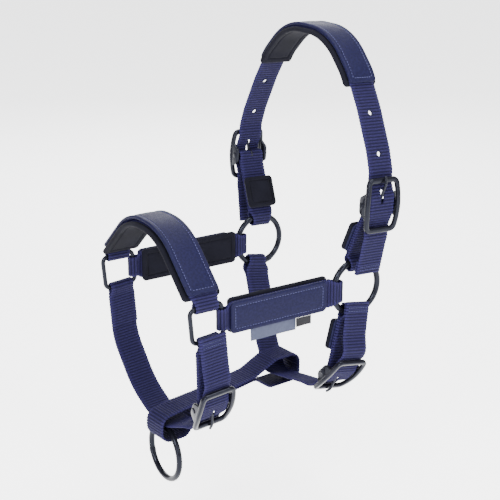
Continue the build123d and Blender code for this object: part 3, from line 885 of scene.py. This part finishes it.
# cheek pieces
for hand, sign in (("left", 1), ("right", -1)):
    flat = CHEEK if sign < 0 else Flat(CHEEK.origin, (-1, 0, 0), (0, 1, 0))
    line = [(-RING_X, -137.9), (-RING_X, -19.8)]
    line, _ = evenly(line, 1.0)
    strap(hand + "_cheek_webbing", flat, doubled(line, (SQUARE_LOOP, RING_LOOP)), "lower",
          [hand + "_cheek_strap"], True, tips=((-RING_X, -19.8), (-RING_X, -137.9)))
    long_cover, _ = evenly([(-RING_X, -131.0), (-RING_X, -34.0)], 1.0)
    cushion(hand + "_cheek_skin", flat, long_cover, 1.8, 4.5, 28, "lower", [hand + "_cheek_cover"],
            cover_satin, "cover_satin", seam=4.2, groove=0.35, puff=0.3, rim=0.2)
    long_lining, _ = evenly([(-RING_X, -130.0), (-RING_X, -29.5)], 1.0)
    pad = cushion(hand + "_cheek_pad", flat, long_lining, -5.5, -2.0, 31, "lower",
                  [hand + "_cheek_lining"], neoprene, "neoprene", seam=5.2, groove=0.1,
                  groove_in=0.8, rim=0.5, rim_in=0.15, edge=1.75)
    threads(hand + "_cheek_stitches", seam_places(flat, long_cover, 4.45, 14, 4.2), thread_light,
            "lower")
    threads(hand + "_cheek_pad_stitches", seam_places(flat, long_lining, -5.2, 15.5, 5.2),
            thread_dark, "lower")

# noseband
half_nose = [(-79.0, 15.0), (-79.0, 20.5), (-27.0, 68.5)]
nose_route = rounded(half_nose + [(-x, y) for x, y in reversed(half_nose)], [10, 60, 60, 10])
nose_line = moved(nose_route, -1.5)
nose_line = [Vector((-RING_X, 14.1))] + nose_line[12:-12] + [Vector((RING_X, 14.1))]
strap("noseband_webbing", NOSE, doubled(nose_line, (SQUARE_LOOP, SQUARE_LOOP)), "lower",
      ["noseband_strap"], True, ply=1.6, tips=((-RING_X, 14.1), (RING_X, 14.1)), narrow=2.0)
nose_top = part_of(nose_route, 0.055, 0.945)
nose_inside = part_of(nose_route, 0.048, 0.952)
cushion("noseband_skin", NOSE, nose_top, -0.2, 2.5, 30, "lower", ["noseband_cover"], cover_satin,
        "cover_satin", seam=4.2, groove=0.35, puff=0.35, rim=0.25)
cushion("noseband_pad", NOSE, nose_inside, -6.5, -3.0, 36, "lower", ["noseband_lining"],
            neoprene, "neoprene", seam=6.0, groove=0.1, groove_in=0.8, rim=0.7, rim_in=0.15,
            puff_in=0.1, edge=1.75)
threads("noseband_stitches", seam_places(NOSE, nose_top, 2.45, 15, 4.2), thread_light, "lower")
threads("noseband_pad_stitches", seam_places(NOSE, nose_inside, -6.15, 18, 6.0), thread_dark,
        "lower")

# chin strap
chin_points = [(86.0, -10.5), (86.0, -38.0)] + threaded((71.3, -77.3), 240)
chin_points += [(42.0, -108.5), (6.0, -124.0), (-22.0, -124.0), (-53.5, -107.5), (-81.0, -68.0)]
chin_points += [(-79.4, -15.0)]
chin_route = rounded(chin_points, [30, 12, 7, 7, 7, 7, 20, 40, 40, 60, 60, 40])
chin_line = moved(chin_route, -WEB)
chin_line = chin_line[:-4] + [Vector((-RING_X, -15.0))]
chin = strap("chin_webbing", CHIN, returned(chin_line, (HEM, (3.5, 0.6, 9.0, 40.0))), "lower",
             ["chin_strap"], tips=((-RING_X, -15.0),), narrow=1.5)
cuts = [tongue_cut(chin_buckle)]
rims = []
for fraction in CHIN_HOLES:
    cut, edges = hole_cut(CHIN, chin_route, fraction)
    cuts.append(cut)
    rims += edges
pierced(chin, cuts)
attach(joined("chin_hole_rims", rims), "lower")
chin_short = rounded([(RING_X, -15.0), (RING_X, -28.0), (71.3, -77.3)], [20])
short_strap("chin_billet", CHIN, chin_short, ((3.5, 0.6, 6.0), BAR_LOOP), None, "lower",
            "chin_billet", ((RING_X, -15.0),))

# throat strap
throat_points = [(85.5, -13.5), (88.0, -42.0)] + threaded((72.9, -79.5), 229)
throat_points += [(40.0, -103.5), (14.0, -108.0), (-19.0, -114.0), (-40.0, -90.0), (-62.0, -52.0)]
throat_points += [(-79.4, -23.8)]
throat_route = rounded(throat_points, [30, 12, 7, 7, 7, 7, 20, 25, 40, 14, 60, 60])
throat_line = moved(throat_route, -WEB)
throat_line = throat_line[:-4] + [Vector((-RING_X, -19.8))]
throat = strap("throat_webbing", THROAT, returned(throat_line, (HEM, (4.2, 5.0, 12.0, 40.0))),
               "lower", ["throat_strap"], tips=((-RING_X, -19.8),))
pierced(throat, [tongue_cut(throat_buckle)])
throat_short = rounded([(RING_X, -19.8), (RING_X, -32.0), (72.9, -79.5)], [20])
throat_ends = (RING_LOOP, BAR_LOOP)
short_strap("throat_billet", THROAT, throat_short, throat_ends, (0.19, 0.68), "lower",
            "throat_billet", ((RING_X, -19.8),))

# connecting strap
a = radians(5)
jaw = Flat((-3, RING_Y - 145, RING_Z), (-sin(a), cos(a), 0), (0, 0, 1))
jaw_points = [(-16, -114), (-16, -139.2), (11, -139.2), (36, -113.4), (90, -106.4), (107, -119)]
jaw_points += [(143.5, -119), (143.5, -91), (114, -91), (90, -101.8), (36, -108.8), (10, -110.5)]
jaw_outline = rounded(jaw_points, [11, 11, 8, 12, 9, 10, 10, 10, 10, 12, 20, 20], True)
jaw_even, _ = evenly(jaw_outline, 0.5, True)
jaw_path = [p + n * 1.0 for p, n in zip(jaw_even, sides(jaw_even, True))]
strap("connecting_webbing", jaw, jaw_path, "lower", ["connecting_strap"], True)


def hem_rows(name, flat, route, places, body):
    """Rows of threads across a strap, on its outer face."""
    rows = []
    for s in places:
        rows += row_places(flat, route, s, 0.05, 10.5, 1.9, 1.1)
    threads(name, rows, thread_light, body)


def route_length(route):
    return evenly(route, 0.25)[1]


FIRST_ROW, SECOND_ROW = 3.6, 6.4
crown_total = route_length(crown_route)
hem_rows("crown_hem_stitches", CROWN, crown_route,
         (FIRST_ROW, SECOND_ROW, crown_total - SECOND_ROW, crown_total - FIRST_ROW), "crown")
chin_total = route_length(chin_route)
hem_rows("chin_hem_stitches", CHIN, chin_route,
         (FIRST_ROW, SECOND_ROW, chin_total - 14.0, chin_total - 36.0), "lower")
throat_total = route_length(throat_route)
hem_rows("throat_hem_stitches", THROAT, throat_route,
         (FIRST_ROW, SECOND_ROW, throat_total - 16.0, throat_total - 37.0), "lower")


# --- labels ---


def label(name, x, front, rear, low, material, node_name):
    """Woven tape sewn in at its top edge, slightly curled at the bottom."""
    top = -14.7
    rings, count = [], 24
    for i in range(count + 1):
        y = front + (rear - front) * i / count
        pair = []
        for j in range(9):
            f = j / 8
            z = top + (low - top) * f
            lift = 0.35 * f * f * sin(1.3 + 5 * i / count)
            pair.append((x + lift, z))
        loop = [(px + 0.28, z) for px, z in pair] + [(px - 0.28, z) for px, z in reversed(pair)]
        rings.append([Vector((px, RING_Y + y, RING_Z + z)) * 0.001 for px, z in loop])
    obj = loft(name, rings, material)
    obj.data.polygons.foreach_set("use_smooth", [False] * len(obj.data.polygons))
    return finish_piece(obj, "lower", [node_name])


label("woven_tape", 79.0, -110.5, -65.0, -25.5, label_grey, "woven_label")
label("size_tape", 80.6, -65.5, -50.0, -22.5, label_black, "size_label")

# --- stage, light and camera ---

bpy.ops.mesh.primitive_plane_add(size=12, location=(0, 0, -0.45))
floor = bpy.context.object
floor.name = "floor"
floor_mat, _, _ = plain("floor", (0.97, 0.97, 0.975), 0.6, Emission_Color=(1, 1, 1, 1),
                        Emission_Strength=2.0)
floor.data.materials.append(floor_mat)


def softbox(name, place, target, size, power, colour=(1, 1, 1)):
    data = bpy.data.lights.new(name, "AREA")
    data.shape = "RECTANGLE"
    data.size, data.size_y = size
    data.energy = power
    data.color = colour
    obj = bpy.data.objects.new(name, data)
    bpy.context.scene.collection.objects.link(obj)
    obj.location = place
    obj.rotation_euler = (Vector(target) - Vector(place)).to_track_quat("-Z", "Y").to_euler()


middle = (0, -0.07, -0.19)
softbox("key", (0.9, -1.3, 0.9), middle, (0.6, 0.6), 30)
softbox("fill", (1.3, 0.5, 0.3), middle, (0.5, 1.0), 10)
softbox("top", (0.0, 0.0, 1.3), middle, (1.0, 1.0), 46)
softbox("strip_left", (0.75, -1.1, 0.15), middle, (0.08, 1.1), 12)
softbox("strip_right", (1.3, -0.15, 0.3), middle, (0.08, 1.1), 12)
softbox("rim", (-1.2, 0.6, 0.5), middle, (0.8, 1.0), 16)

world = bpy.data.worlds.new("studio")
bpy.context.scene.world = world
world.use_nodes = True
world.node_tree.nodes["Background"].inputs["Color"].default_value = (0.97, 0.98, 1.0, 1)
world.node_tree.nodes["Background"].inputs["Strength"].default_value = 1.0

lens = bpy.data.cameras.new("camera")
lens.lens = 92.74
lens.sensor_width = 36
camera = bpy.data.objects.new("camera", lens)
bpy.context.scene.collection.objects.link(camera)
camera.location = (0.912525, -0.66355, 0.1865)
look = Vector((0.0006, -0.07134, -0.1879)) - camera.location
camera.rotation_euler = look.to_track_quat("-Z", "Y").to_euler()
bpy.context.scene.camera = camera
